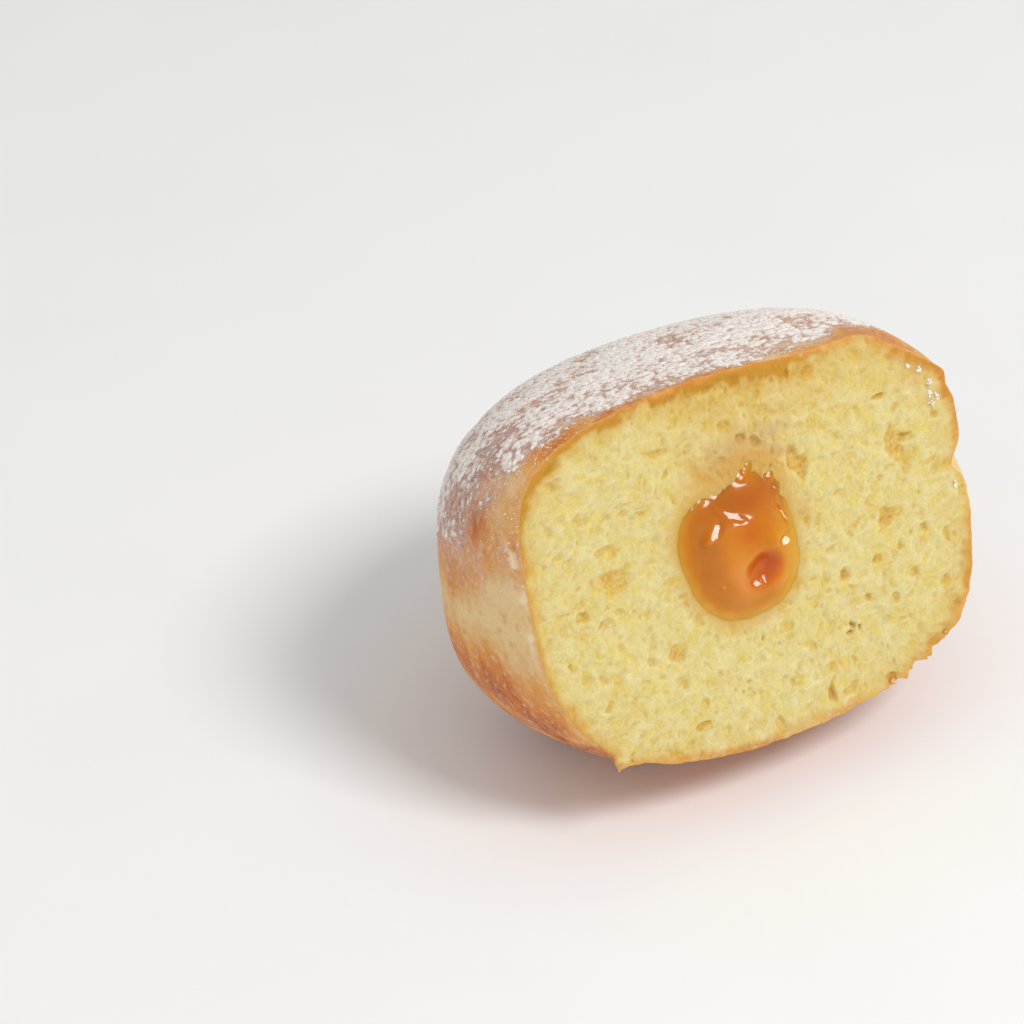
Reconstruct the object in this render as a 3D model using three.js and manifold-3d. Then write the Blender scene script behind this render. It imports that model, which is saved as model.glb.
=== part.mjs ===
// Mini filled doughnut with a slice cut off its front: a soft round bun that leans back on its flattened
// base and shows yellow crumb, with a caramel filling that swells out of the middle of the cut.
// Millimetres, +Z up. The cut looks towards -Y and the base rests on Z = 0.
// Both solids are shaped in the bun's own frame: Z is the bun's axis and the cut is a plane Y = -CUT_OFFSET.

import * as THREE from "three";
import { ImprovedNoise } from "three/addons/math/ImprovedNoise.js";
import { mergeVertices } from "three/addons/utils/BufferGeometryUtils.js";
import Module from "manifold-3d";

// Bun
const BUN_DIAMETER = 60;
const BUN_HEIGHT = 43.3;
const TOP_FULLNESS = 3.45; // superellipse exponent above the widest ring: 2 is an ellipse, more is boxier
const BASE_FULLNESS = 2.7; // the same below the widest ring
const CUT_OFFSET = 11.4; // from the bun's axis forward to the cut
const LEAN_BACK = 20; // degrees that the bun's axis tips away from the viewer
const BASE_SQUASH = 1.0; // how far the soft base is pressed flat where it rests

// Unevenness of the bun. Azimuth runs from the cut (0) to the right (90) and the back (180), elevation
// from the widest ring upwards, both in degrees like the spread; height is in millimetres.
const BULGES = [
  { name: "crown, back right", azimuth: 115, elevation: 45, spread: 18, height: 0.9 },
  { name: "hollow, back left shoulder", azimuth: -125, elevation: 32, spread: 18, height: -1.0 },
  { name: "left hip", azimuth: -108, elevation: -5, spread: 12, height: 1.0 },
  { name: "hollow under the left hip", azimuth: -90, elevation: -30, spread: 12, height: -0.7 },
  { name: "hollow, crown at the cut", azimuth: 42, elevation: 53, spread: 14, height: -0.8 },
  { name: "peak of the cut edge", azimuth: 57, elevation: 42, spread: 5, height: 1.0 },
  { name: "hollow beside the peak", azimuth: 63, elevation: 33, spread: 5, height: -0.6 },
  { name: "right corner of the cut", azimuth: 66, elevation: 24, spread: 8, height: 0.9 },
  { name: "notch in the right edge", azimuth: 67, elevation: 5, spread: 2.8, height: -1.0 },
  { name: "hollow, right of the cut", azimuth: 68, elevation: -12, spread: 9, height: -0.5 },
  { name: "lower right of the cut", azimuth: 62, elevation: -32, spread: 8, height: 0.5 },
  { name: "left shoulder at the cut", azimuth: -64, elevation: 30, spread: 12, height: 0.8 },
  { name: "hollow, left of the cut", azimuth: -67, elevation: 15, spread: 8, height: -0.5 },
  { name: "torn flake at the bottom edge", azimuth: -62, elevation: -35, spread: 2.2, height: 1.3 },
];

// Cut face
const PORES = [
  { name: "tall, right", x: 19.8, z: 6.6, halfWidth: 1.5, halfHeight: 3.3, depth: 1.1 },
  { name: "round, right", x: 16.9, z: -0.7, halfWidth: 1.5, halfHeight: 1.6, depth: 1.0 },
  { name: "deep, lower right", x: 9.6, z: -11.9, halfWidth: 1.4, halfHeight: 1.4, depth: 1.2 },
  { name: "slit, right of the filling", x: 10.4, z: -5.7, halfWidth: 1.2, halfHeight: 1.6, depth: 0.8 },
  { name: "wide, left", x: -17.6, z: 3.3, halfWidth: 2.8, halfHeight: 2.5, depth: 0.8 },
  { name: "tear above the filling", x: 6.9, z: 8.5, halfWidth: 1.6, halfHeight: 2.3, depth: 1.1 },
  { name: "flat, upper left", x: -9.3, z: 14.9, halfWidth: 2.4, halfHeight: 1.2, depth: 0.7 },
  { name: "small, above the filling", x: 1.8, z: 13.0, halfWidth: 1.6, halfHeight: 1.3, depth: 0.7 },
  { name: "small, upper right", x: 18.7, z: 13.1, halfWidth: 1.5, halfHeight: 1.2, depth: 0.6 },
  { name: "small, lower left", x: -10.7, z: -16.0, halfWidth: 1.4, halfHeight: 1.2, depth: 0.6 },
];
const PORE_FLOOR = 0.3; // share of a pore's half size that is flat at the bottom
const PORE_RIM = 1.2; // and the share where its rounded rim ends
const CRUMB_SWELL = 0.3; // height of the slow unevenness the knife leaves
const CRUMB_PERIOD = 6; // and its length
const CRUMB_SLICE = 0.5; // the slice through the noise that gives it
const EDGE_SOFTNESS = 0.06; // outer share of the face where the relief fades into the crust

// Filling
const FILLING_X = -1.9; // centre of the filling on the face
const FILLING_Z = 2.1;
const FILLING_WIDTH = 14.8;
const FILLING_HEIGHT = 17.3;
const FILLING_DEPTH = 21; // how far it runs into the crumb
const FILLING_SWELL = 2.8; // how far it swells out of the cut
const FILLING_SINK = 2.6; // how much of that is lost towards its ragged top
const SINK_START = 0.3; // share of the half height where the sinking starts
const SINK_END = 0.8; // and where it is full
const FILLING_LOBES = [
  { count: 2, share: 0.037, phase: -1.8 },
  { count: 3, share: 0.058, phase: -2.84 },
  { count: 4, share: 0.046, phase: 2.44 },
];
const DIMPLE = { x: 0.6, z: -0.6, radius: 1.5, height: -1.5 };
const CURL = { x: 3.3, z: -0.9, radius: 1.7, height: 0.8 }; // thick fold beside the dimple
const GAP = 0.3; // clearance between the filling and its pocket

// Mesh fineness
const AROUND = 128;
const FACE_ROWS = 17;
const FACE_START = 0.27; // share of the face where its first ring lies, inside the pocket's mouth
const SKIN_ROWS = 20;
const FILLING_AROUND = 44;
const FILLING_ROWS = 26;
const HALVINGS = 40; // steps of the search for the edge of the cut

const BUN_RADIUS = BUN_DIAMETER / 2;
const HALF_HEIGHT = BUN_HEIGHT / 2;
const radians = THREE.MathUtils.degToRad;
const smoothstep = THREE.MathUtils.smoothstep;
const noise = new ImprovedNoise();
const wasm = await Module();
wasm.setup();

// Unit vector towards an azimuth and elevation of the bun.
function towards(azimuth, elevation) {
  const across = Math.cos(radians(elevation));
  return new THREE.Vector3(
    Math.sin(radians(azimuth)) * across,
    -Math.cos(radians(azimuth)) * across,
    Math.sin(radians(elevation)),
  );
}

const bulges = BULGES.map((bulge) => ({
  direction: towards(bulge.azimuth, bulge.elevation),
  spread: radians(bulge.spread),
  height: bulge.height,
}));

// Distance from the bun's centre to its skin along a unit vector.
function skinRadius(direction) {
  const fullness = direction.z >= 0 ? TOP_FULLNESS : BASE_FULLNESS;
  const across = Math.hypot(direction.x, direction.y) / BUN_RADIUS;
  const upright = Math.abs(direction.z) / HALF_HEIGHT;
  const even = (across ** fullness + upright ** fullness) ** (-1 / fullness);
  const uneven = bulges.map((bulge) => {
    const away = direction.angleTo(bulge.direction) / bulge.spread;
    return bulge.height * Math.exp(-0.5 * away * away);
  });
  return uneven.reduce((sum, height) => sum + height, even);
}

// Unit vector that leaves the forward axis by `tilt`, at the angle `around` from the right of the face.
function fromFront(tilt, around) {
  return new THREE.Vector3(
    Math.sin(tilt) * Math.cos(around),
    -Math.cos(tilt),
    Math.sin(tilt) * Math.sin(around),
  );
}

// Tilt at which the skin meets the plane of the cut.
function cutTilt(around) {
  let inside = 0;
  let outside = Math.PI / 2;
  for (let step = 0; step < HALVINGS; step += 1) {
    const tilt = (inside + outside) / 2;
    const beyond = skinRadius(fromFront(tilt, around)) * Math.cos(tilt) > CUT_OFFSET;
    if (beyond) inside = tilt;
    else outside = tilt;
  }
  return (inside + outside) / 2;
}

// Depth of the cut crumb below the plane of the cut.
function crumbDepth(x, z) {
  const slow = CRUMB_SWELL * noise.noise(x / CRUMB_PERIOD, CRUMB_SLICE, z / CRUMB_PERIOD);
  const pores = PORES.map((pore) => {
    const away = Math.hypot((x - pore.x) / pore.halfWidth, (z - pore.z) / pore.halfHeight);
    return pore.depth * (1 - smoothstep(away, PORE_FLOOR, PORE_RIM));
  });
  return slow + Math.max(...pores);
}

// Point of the bun for a row and an angle: rows run from the middle of the cut, over its edge, to the back.
function bunPoint(row, around) {
  const edgeTilt = cutTilt(around);
  if (row > FACE_ROWS) {
    const share = (row - FACE_ROWS) / SKIN_ROWS;
    const direction = fromFront(edgeTilt + (Math.PI - edgeTilt) * share, around);
    return direction.multiplyScalar(skinRadius(direction));
  }
  const ring = row === 0 ? 0 : FACE_START + ((1 - FACE_START) * (row - 1)) / (FACE_ROWS - 1);
  const edge = fromFront(edgeTilt, around).multiplyScalar(skinRadius(fromFront(edgeTilt, around)));
  const x = edge.x * ring;
  const z = edge.z * ring;
  const fade = 1 - smoothstep(ring, 1 - 2 * EDGE_SOFTNESS, 1 - EDGE_SOFTNESS / 2);
  return new THREE.Vector3(x, -CUT_OFFSET + crumbDepth(x, z) * fade, z);
}

// Point of the filling for a unit vector, all of it grown by `grow`.
function fillingPoint(direction, grow) {
  const angle = Math.atan2(direction.z, direction.x);
  const lobes = FILLING_LOBES.map((lobe) => lobe.share * Math.cos(lobe.count * angle + lobe.phase));
  const wobble = lobes.reduce((sum, share) => sum + share, 1);
  const x = FILLING_X + direction.x * (FILLING_WIDTH / 2 + grow) * wobble;
  const z = FILLING_Z + direction.z * (FILLING_HEIGHT / 2 + grow) * wobble;
  const forward = Math.max(0, -direction.y);
  const backward = Math.max(0, direction.y);
  const sink = FILLING_SINK * forward * smoothstep(direction.z, SINK_START, SINK_END);
  const relief = [DIMPLE, CURL].reduce((sum, spot) => {
    const away = Math.hypot(x - spot.x, z - spot.z) / spot.radius;
    return sum + spot.height * forward * Math.exp(-0.5 * away * away);
  }, 0);
  const front = (FILLING_SWELL + grow) * forward - sink + relief;
  return new THREE.Vector3(x, -CUT_OFFSET - front + (FILLING_DEPTH + grow) * backward, z);
}

// A sphere with its poles at the front and the back, each vertex moved by `place`.
function shapedSphere(around, rows, place) {
  const geometry = new THREE.SphereGeometry(1, around, rows);
  const positions = geometry.attributes.position;
  const vertex = new THREE.Vector3();
  for (let i = 0; i < positions.count; i += 1) {
    vertex.fromBufferAttribute(positions, i);
    const point = place(vertex);
    positions.setXYZ(i, point.x, point.y, point.z);
  }
  return geometry;
}

function solidFrom(geometry) {
  geometry.deleteAttribute("normal");
  geometry.deleteAttribute("uv");
  const merged = mergeVertices(geometry);
  const mesh = new wasm.Mesh({
    numProp: 3,
    vertProperties: merged.attributes.position.array,
    triVerts: new Uint32Array(merged.index.array),
  });
  return new wasm.Manifold(mesh);
}

function meshFrom(solid, name, material) {
  const mesh = solid.getMesh();
  const geometry = new THREE.BufferGeometry();
  geometry.setAttribute("position", new THREE.BufferAttribute(mesh.vertProperties, 3));
  geometry.setIndex(new THREE.BufferAttribute(mesh.triVerts, 1));
  geometry.computeVertexNormals();
  const made = new THREE.Mesh(geometry, material);
  made.name = name;
  return made;
}

const lean = new THREE.Matrix4().makeRotationX(-radians(LEAN_BACK));

// Everything below the plane the bun rests on, in the bun's frame.
function tableUnder(geometry) {
  const leaned = geometry.clone().applyMatrix4(lean);
  leaned.computeBoundingBox();
  const size = 4 * BUN_DIAMETER;
  const table = new THREE.BoxGeometry(size, size, size);
  table.translate(0, 0, leaned.boundingBox.min.z + BASE_SQUASH - size / 2);
  return table.applyMatrix4(lean.clone().invert());
}

const bunGeometry = shapedSphere(AROUND, FACE_ROWS + SKIN_ROWS, (vertex) => {
  const row = Math.round((Math.acos(-vertex.y) / Math.PI) * (FACE_ROWS + SKIN_ROWS));
  return bunPoint(row, Math.atan2(vertex.z, vertex.x));
});
const fillingGeometry = shapedSphere(FILLING_AROUND, FILLING_ROWS, (vertex) => fillingPoint(vertex, 0));
const pocketGeometry = shapedSphere(FILLING_AROUND, FILLING_ROWS, (vertex) => fillingPoint(vertex, GAP));

const table = solidFrom(tableUnder(bunGeometry));
const doughSolid = solidFrom(bunGeometry).subtract(solidFrom(pocketGeometry)).subtract(table);

const doughMaterial = new THREE.MeshStandardMaterial({ color: 0xd9b36a, roughness: 0.85 });
const fillingMaterial = new THREE.MeshStandardMaterial({ color: 0xc87e34, roughness: 0.2 });

const bun = new THREE.Group();
bun.add(meshFrom(doughSolid, "dough", doughMaterial));
bun.add(meshFrom(solidFrom(fillingGeometry), "filling", fillingMaterial));
bun.applyMatrix4(lean);

const box = new THREE.Box3().setFromObject(bun, true);
const centre = box.getCenter(new THREE.Vector3());
bun.position.set(-centre.x, -centre.y, -box.min.z);

const doughnut = new THREE.Group();
doughnut.add(bun);

export default doughnut;
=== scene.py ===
"""Looks of the mini filled doughnut: crumb, fried crust, caramel filling, icing sugar and loose crumbs.

Every form is worked out in the bun's own frame, in millimetres: Z is its axis and the cut is the plane
y = -CUT_OFFSET, which looks towards -Y. It is then leaned back and set down where the CAD dough lies.
Angles around the cut go from its right to its top, as seen from in front. All noise and draws are seeded.
"""

import itertools
import math

import bpy
import numpy as np
from mathutils import Matrix, Vector


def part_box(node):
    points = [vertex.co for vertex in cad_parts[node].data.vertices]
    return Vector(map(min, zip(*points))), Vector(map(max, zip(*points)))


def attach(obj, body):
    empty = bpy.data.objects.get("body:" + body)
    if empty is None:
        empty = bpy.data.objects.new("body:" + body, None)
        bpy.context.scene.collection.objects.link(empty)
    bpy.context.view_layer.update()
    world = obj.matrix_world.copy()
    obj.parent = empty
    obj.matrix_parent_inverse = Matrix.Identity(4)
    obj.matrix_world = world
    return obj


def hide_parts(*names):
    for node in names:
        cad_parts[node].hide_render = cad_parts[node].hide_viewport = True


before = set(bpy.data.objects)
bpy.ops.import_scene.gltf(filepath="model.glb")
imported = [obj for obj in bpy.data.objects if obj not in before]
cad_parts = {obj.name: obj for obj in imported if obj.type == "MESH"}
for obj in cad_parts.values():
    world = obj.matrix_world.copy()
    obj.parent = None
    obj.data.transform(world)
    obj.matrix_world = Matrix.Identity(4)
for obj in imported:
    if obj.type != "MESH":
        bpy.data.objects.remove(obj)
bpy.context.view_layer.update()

# Form of the bun, as in the CAD, in millimetres and degrees
BUN_DIAMETER = 60.0
BUN_HEIGHT = 43.3
TOP_FULLNESS = 3.45
BASE_FULLNESS = 2.7
CUT_OFFSET = 11.4
LEAN_BACK = 20.0
BASE_SQUASH = 1.0
# Unevenness: azimuth from the cut to the right, elevation, spread, height
BULGES = {
    "crown, back right": (115, 45, 18, 0.9),
    "hollow, back left shoulder": (-125, 32, 18, -1.0),
    "left hip": (-108, -5, 12, 1.0),
    "hollow under the left hip": (-90, -30, 12, -0.7),
    "hollow, crown at the cut": (42, 53, 14, -0.8),
    "peak of the cut edge": (57, 42, 5, 1.0),
    "hollow beside the peak": (63, 33, 5, -0.6),
    "right corner of the cut": (66, 24, 8, 0.9),
    "notch in the right edge": (67, 5, 2.8, -1.0),
    "hollow, right of the cut": (68, -12, 9, -0.5),
    "lower right of the cut": (62, -32, 8, 0.5),
    "left shoulder at the cut": (-64, 30, 12, 0.8),
    "hollow, left of the cut": (-67, 15, 8, -0.5),
    "torn flake at the bottom edge": (-62, -35, 2.2, 1.3),
}

# Edge of the cut, by the angle around it: angle, spread, height
EVEN_TEARS = 0.12
DEEPER_TEARS = ((-47, 9, 0.45), (-142.5, 2.5, 0.7))  # at the lower right and at the bottom flake
EDGE_STEPS = ((25.5, 1.4, 0.45), (22.6, 1.0, -0.25))  # a corner at the right and the hollow under it
NOTCH = ((5.0, 1.8, 0.6),)
NOTCH_MOUTH = (0.5, 4.5)  # angle and spread of the edge that has lost its crust
RIM_THICKNESS = 0.35  # of the crust that shows round the cut
RIM_THICKER = (
    (0, 35, 0.55),
    (-60, 25, 0.4),
    (-112, 22, 0.5),
    (90, 60, 0.15),
    (-85, 14, 0.35),
    (30, 12, 0.6),
)
RIM_BAKE = 0.58  # how brown that rim is, from 0 to 1
RIM_BAKE_CHANGES = ((0, 45, -0.3), (32, 13, 0.25), (-100, 28, 0.15))

# Pores of the cut crumb: x, z, half width, half height, depth
PORES = {
    "tall, right": (19.8, 6.2, 1.4, 2.9, 0.55),
    "tall, right, its small neighbour": (21.1, 7.3, 0.4, 0.8, 0.7),
    "round, right": (16.9, -0.7, 1.3, 1.4, 0.6),
    "deep, lower right": (9.4, -11.6, 0.5, 0.6, 0.7),
    "deep, its right neighbour": (10.5, -12.0, 0.5, 0.35, 0.6),
    "deep, its lower neighbour": (9.3, -12.7, 0.45, 0.3, 0.6),
    "slit, right of the filling": (10.4, -5.7, 0.55, 1.1, 0.7),
    "wide, left": (-17.4, 3.0, 2.3, 2.0, 0.55),
    "wide, left, upper lip": (-17.6, 6.4, 1.8, 0.7, 0.4),
    "tear above the filling": (6.9, 8.5, 0.9, 2.2, 0.7),
    "flat, upper left": (-9.3, 14.9, 2.2, 0.6, 0.4),
    "small, above the filling": (0.8, 13.4, 0.9, 0.8, 0.6),
    "beside it": (2.8, 12.6, 0.6, 0.9, 0.6),
    "small, upper right": (18.7, 13.1, 0.9, 0.5, 0.7),
    "small, lower left": (-10.7, -16.3, 1.1, 0.5, 0.6),
    "small, left": (-21.5, -0.2, 0.9, 0.6, 0.6),
    "small, right of the round one": (20.9, -3.4, 0.5, 0.8, 0.5),
    "at the right edge": (23.9, -5.1, 0.8, 0.8, 0.4),
    "at the right edge, lower": (22.6, -10.0, 0.9, 1.0, 0.45),
    "right, low": (18.9, -7.9, 0.7, 0.7, 0.45),
    "right, below the round one": (17.6, -4.3, 0.5, 0.6, 0.4),
    "right, oval": (14.3, -5.2, 0.9, 0.6, 0.45),
    "right, low, oval": (12.7, -8.6, 0.6, 0.5, 0.4),
    "right, lowest": (15.9, -10.0, 0.5, 0.6, 0.4),
    "upper right edge": (25.2, 9.0, 0.6, 0.7, 0.45),
    "small, low right": (5.8, -17.8, 0.6, 1.2, 0.7),
}
# Pores strewn over it: cell size, seed, least and most radius in cells, depth, share of cells with one
STREWN_PORES = (
    (3.2, 31, (0.14, 0.34), 0.35, 0.45),
    (1.5, 32, (0.18, 0.40), 0.22, 0.6),
    (0.8, 33, (0.2, 0.42), 0.12, 0.7),
)

# Filling, as in the CAD
FILLING_X = -1.9
FILLING_Z = 2.1
FILLING_WIDTH = 14.8
FILLING_HEIGHT = 17.3
FILLING_DEPTH = 21.0
FILLING_SWELL = 2.8
FILLING_SHELF = 1.0  # how much of that swell its thin margin has
FILLING_LOBES = ((2, 0.037, -1.8), (3, 0.058, -2.84), (4, 0.046, 2.44))  # count, share, phase
FILLING_RUN = (30.0, 38.0, 0.08)  # where it has run out over the crumb: angle, spread, share
FILLING_RIM = 0.3  # how far its rim reaches into the crumb
FILLING_SPILL = 1.10  # how much wider it is at that rim than where it leaves the crumb
FILLING_DOME = (-1.5, 1.3, 6.1, 7.2)  # centre and half sizes of the drop in its middle
DOME_FULLNESS = 2.6
DIMPLE = (-0.4, -0.7, 2.6, 2.5)  # centre and half sizes
DIMPLE_DEPTH = 1.3
FOLD_HEIGHT = 0.8  # of the thick fold round the right of the dimple
# Flat spots that catch the key light: x, z, turn in degrees, half length, half width
FILLING_GLINTS = {
    "left shoulder": (-5.2, 4.8, 40, 1.4, 0.5),
    "top shoulder": (-2.8, 6.1, -38, 1.4, 0.42),
    "right shoulder": (3.9, 3.9, -70, 1.0, 0.20),
    "right shoulder, its neighbour": (2.9, 5.0, -50, 0.4, 0.18),
    "above the dimple": (2.5, 1.6, 10, 0.75, 0.6),
    "lower lip of the dimple": (-1.6, -2.2, -20, 0.65, 0.4),
    "ragged top, right": (3.6, 8.7, 0, 0.45, 0.25),
    "left margin": (-6.6, 7.9, 60, 0.3, 0.25),
    "left margin, low": (-7.0, 4.6, 0, 0.3, 0.15),
    "bubble": (-5.5, -1.3, 40, 0.3, 0.22),
}
GLINT_SLOPE = (0.08, -0.46)  # of those spots, to the right and upwards

# Soft spots of colour on the cut: x, z, spread across, spread upright, strength
CRUMB_STAINS = ((6.6, 3.2, 1.1, 1.8, 0.5), (-5.4, 10.2, 1.5, 0.9, 0.55), (-9.4, 4.6, 0.9, 2.2, 0.4))
CARAMEL_SHADE = ((-0.5, 7.2, 4.5, 1.6, 0.9), (-7.0, 3.0, 1.5, 2.5, 0.4))
CARAMEL_VEIL = ((-3.4, -0.4, 0.9, 2.4, 0.5),)
CARAMEL_CORE = ((-1.6, 3.6, 1.0, 0.9, 0.45),)
SOAKED_CRUMB = (1.0, 11.6, 7.0, 3.4)  # centre and half sizes of the soaked crumb above the filling

# Icing sugar: height of its lower limit, which climbs towards the cut, at the wiped right and at the left
SUGAR_LIMIT = 2.5
SUGAR_CLIMB_AT_CUT = 19.5
SUGAR_CLIMB_REACH = 7.5
SUGAR_CLIMB_WIPED = 14
SUGAR_CLIMB_LEFT = 2.4
COAT_REACH = 95  # degrees from the top of the bun
COAT_RELIEF = 0.27  # height of its heaps
COAT_SUNK = 0.1  # how far the sheet lies under the skin where that is bare
HEAP_SIZE = 1.0
# Loose grains: number of places drawn, of which few are kept, middle radius, seed
SUGAR_GRAINS = {
    "sugar_powder": (160000, 0.05, 111),
    "sugar_clumps": (56000, 0.075, 121),
}
# Sugar fallen on the cut: x, z, number of grains
FALLEN_SUGAR = (
    (23.0, 14.9, 9),
    (24.3, 14.0, 14),
    (25.3, 12.3, 14),
    (25.1, 11.2, 14),
    (25.9, 10.6, 12),
    (25.1, 9.9, 8),
    (28.0, 8.3, 8),
    (25.9, -0.1, 10),
)
FALLEN_SCATTER = (0.13, 0.2)  # across and upright
FALLEN_SIZES = (1.5, 2.7)  # least and most, in middle radii

# Loose crumbs on the edge of the cut
LOOSE_CRUMBS = 24
CRUMB_RADIUS = 0.17
CRUMB_PLACES = ((-142.5, 1.8, 0.35), (-47.0, 7.0, 0.35), (-110.0, 60.0, 0.3))  # angle, spread, share
CRUMB_MARKS = {"hollow": 0.3, "toast_and_shade": 0.5, "crust": 0.4, "bake_and_shade": 0.3}

# Fineness of the meshes: cells across each disc grid
DOUGH_CELLS = 220
FILLING_CELLS = 150
COAT_CELLS = 440

# Base colours, given as red, green and blue from 0 to 255
PALETTE = {
    # From raised crumb to deep pore: painted light on top and painted shade in the pores.
    "crumb, raised": (224, 214, 162),
    "crumb, level": (213, 198, 139),
    "crumb, hollow": (212, 171, 72),
    "crumb, deep pore": (206, 138, 32),
    "crumb, broad patches": (212, 194, 104),
    "crumb, yellow": (220, 193, 72),
    "crumb, light": (222, 210, 156),
    "crumb, dark specks": (196, 172, 104),
    # Browned crumb, also laid on as painted shade high up on the cut and in pores.
    "crumb, toasted": (204, 160, 68),
    "crumb, well toasted": (190, 138, 44),
    "crumb, soaked": (194, 156, 104),
    "crumb, stained": (204, 156, 72),
    "crust, pale": (232, 202, 142),
    "crust, golden": (224, 156, 72),
    "crust, brown": (206, 110, 24),
    "crust, dark": (152, 62, 16),
    "crust, fine mottling": (218, 170, 104),
    "crust, light specks": (226, 170, 108),
    "crust, dry film": (236, 204, 156),
    "crust, red patches": (200, 116, 56),
    "crust, dusted": (228, 210, 200),
    "crust, flecks": (252, 236, 206),
    "caramel, darker": (200, 120, 12),
    "caramel, lighter": (210, 134, 20),
    "caramel, thin": (208, 150, 24),
    "caramel, edge": (232, 160, 52),
    "caramel, veil": (214, 146, 66),
    "caramel, shade": (180, 94, 12),
    # Red of the dimple, strongest on its upper right wall as painted shade.
    "caramel, deep": (200, 84, 14),
    "sugar, shaded": (244, 234, 225),
    "sugar, white": (254, 248, 241),
    "sugar, thin": (192, 146, 127),
    "floor, darker": (244, 244, 243),
    "floor, lighter": (248, 248, 247),
}
# Noise in the dough's colours: scale per metre, detail
DOUGH_NOISE = {
    "fine": (2400.0, 4.0),
    "speck": (6000.0, 2.0),
    "broad": (170.0, 3.0),
    "tint": (700.0, 4.0),
    "film": (1300.0, 4.0),
}
# What that noise mixes in, in order: noise, share where it is 0, share where it is 1, colour
CRUMB_MOTTLING = (
    ("broad", -0.25, 0.5, "crumb, broad patches"),
    ("tint", -1.3, 1.5, "crumb, yellow"),
    ("fine", -0.7, 1.1, "crumb, light"),
    ("speck", 0.75, -0.55, "crumb, dark specks"),
)
CRUST_MOTTLING = (
    ("fine", -0.8, 0.8, "crust, fine mottling"),
    ("speck", -1.0, 0.85, "crust, light specks"),
    ("film", -1.4, 1.3, "crust, dry film"),
    ("tint", 1.1, -1.3, "crust, red patches"),
)

# Studio, in metres and watts: place, width, height and power of each light
SOFTBOXES = {
    "key": ((0.25, -0.55, 0.7), 0.28, 0.28, 4.65),
    "left_fill": ((-0.85, -0.55, 0.35), 1.2, 0.8, 1.2),
}
LIGHT_AIM = (0.0, 0.0, 0.025)
SURROUND_STRENGTH = 0.55
FLOOR_SIDE = 4.0

# Camera, fitted to the photograph, in pixels, millimetres and degrees
PICTURE_SIDE = 1024
SENSOR_WIDTH = 36.0
CAMERA_DISTANCE = 450.0
CAMERA_AZIMUTH = -29.47
CAMERA_ELEVATION = 34.32
CAMERA_ROLL = 2.49
BUN_CENTRE_PIXEL = (708.4, 540.7)
PIXELS_PER_MM = 8.89

MM = 0.001


def smoothstep(low, high, value):
    """0 up to low, 1 from high on, smooth between them. With high below low it falls instead."""
    share = np.clip((value - low) / (high - low), 0, 1)
    return share * share * (3 - 2 * share)


def bell(value, middle, width):
    """A bell curve that is 1 in the middle."""
    return np.exp(-0.5 * ((value - middle) / width) ** 2)


def bells(value, curves):
    """A sum of bell curves, each given as middle, width and height."""
    return sum(height * bell(value, middle, width) for middle, width, height in curves)


def spots(x, z, places):
    """A sum of soft spots on the cut, each given as x, z, spread across, spread upright and strength."""
    return sum(
        strength * bell(x, middle_x, across) * bell(z, middle_z, upright)
        for middle_x, middle_z, across, upright, strength in places
    )


def smooth_noise(points, period, seed):
    """Smooth random values from -1 to 1 at points (..., 3), about `period` from hill to hollow."""
    size = 48
    lattice = np.random.default_rng(seed).uniform(-1, 1, (size, size, size))
    scaled = points / period
    cell = np.floor(scaled).astype(int)
    part = scaled - cell
    weight = part * part * (3 - 2 * part)
    total = np.zeros(points.shape[:-1])
    for corner in itertools.product((0, 1), repeat=3):
        share = np.prod(np.where(corner, weight, 1 - weight), axis=-1)
        place = (cell + corner) % size
        total += share * lattice[place[..., 0], place[..., 1], place[..., 2]]
    return total


def layered_noise(points, period, seed, layers=3):
    """Smooth noise with finer and weaker layers added."""
    total = np.zeros(points.shape[:-1])
    for layer in range(layers):
        total += 0.5**layer * smooth_noise(points, period * 0.5**layer, seed + layer)
    return total


def flat_points(x, z):
    """Points of the plane y = 0, where noise for the cut is read."""
    return np.stack([x, np.zeros_like(x), z], -1)


def ring_points(around, radius):
    """Points of a circle, where noise is read that closes up round the cut."""
    return radius * np.stack([np.cos(around), np.sin(around), np.zeros_like(around)], -1)


def towards(azimuth, elevation):
    """Unit vector towards an azimuth and elevation of the bun."""
    azimuth = math.radians(azimuth)
    elevation = math.radians(elevation)
    across = math.cos(elevation)
    return np.array([math.sin(azimuth) * across, -math.cos(azimuth) * across, math.sin(elevation)])


def skin_radius(direction):
    """Distance from the bun's centre to its skin along unit vectors (..., 3)."""
    fullness = np.where(direction[..., 2] >= 0, TOP_FULLNESS, BASE_FULLNESS)
    across = np.hypot(direction[..., 0], direction[..., 1]) / (BUN_DIAMETER / 2)
    upright = np.abs(direction[..., 2]) / (BUN_HEIGHT / 2)
    radius = (across**fullness + upright**fullness) ** (-1 / fullness)
    for azimuth, elevation, spread_angle, height in BULGES.values():
        angle = np.arccos(np.clip(direction @ towards(azimuth, elevation), -1, 1))
        radius = radius + height * bell(angle, 0, math.radians(spread_angle))
    return radius


def from_front(tilt, around):
    """Unit vectors that leave the forward axis by `tilt`, towards the angle `around` the cut."""
    return np.stack([np.sin(tilt) * np.cos(around), -np.cos(tilt), np.sin(tilt) * np.sin(around)], -1)


def cut_tilt(around):
    """Tilt at which the skin meets the plane of the cut."""
    inside = np.zeros_like(around)
    outside = np.full_like(around, math.pi / 2)
    for _ in range(40):
        tilt = (inside + outside) / 2
        beyond = skin_radius(from_front(tilt, around)) * np.cos(tilt) > CUT_OFFSET
        inside = np.where(beyond, tilt, inside)
        outside = np.where(beyond, outside, tilt)
    return (inside + outside) / 2


EDGE_ANGLES = np.linspace(-math.pi, math.pi, 1441)
EDGE_TILTS = cut_tilt(EDGE_ANGLES)
EDGE_RADII = CUT_OFFSET * np.tan(EDGE_TILTS)


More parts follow.
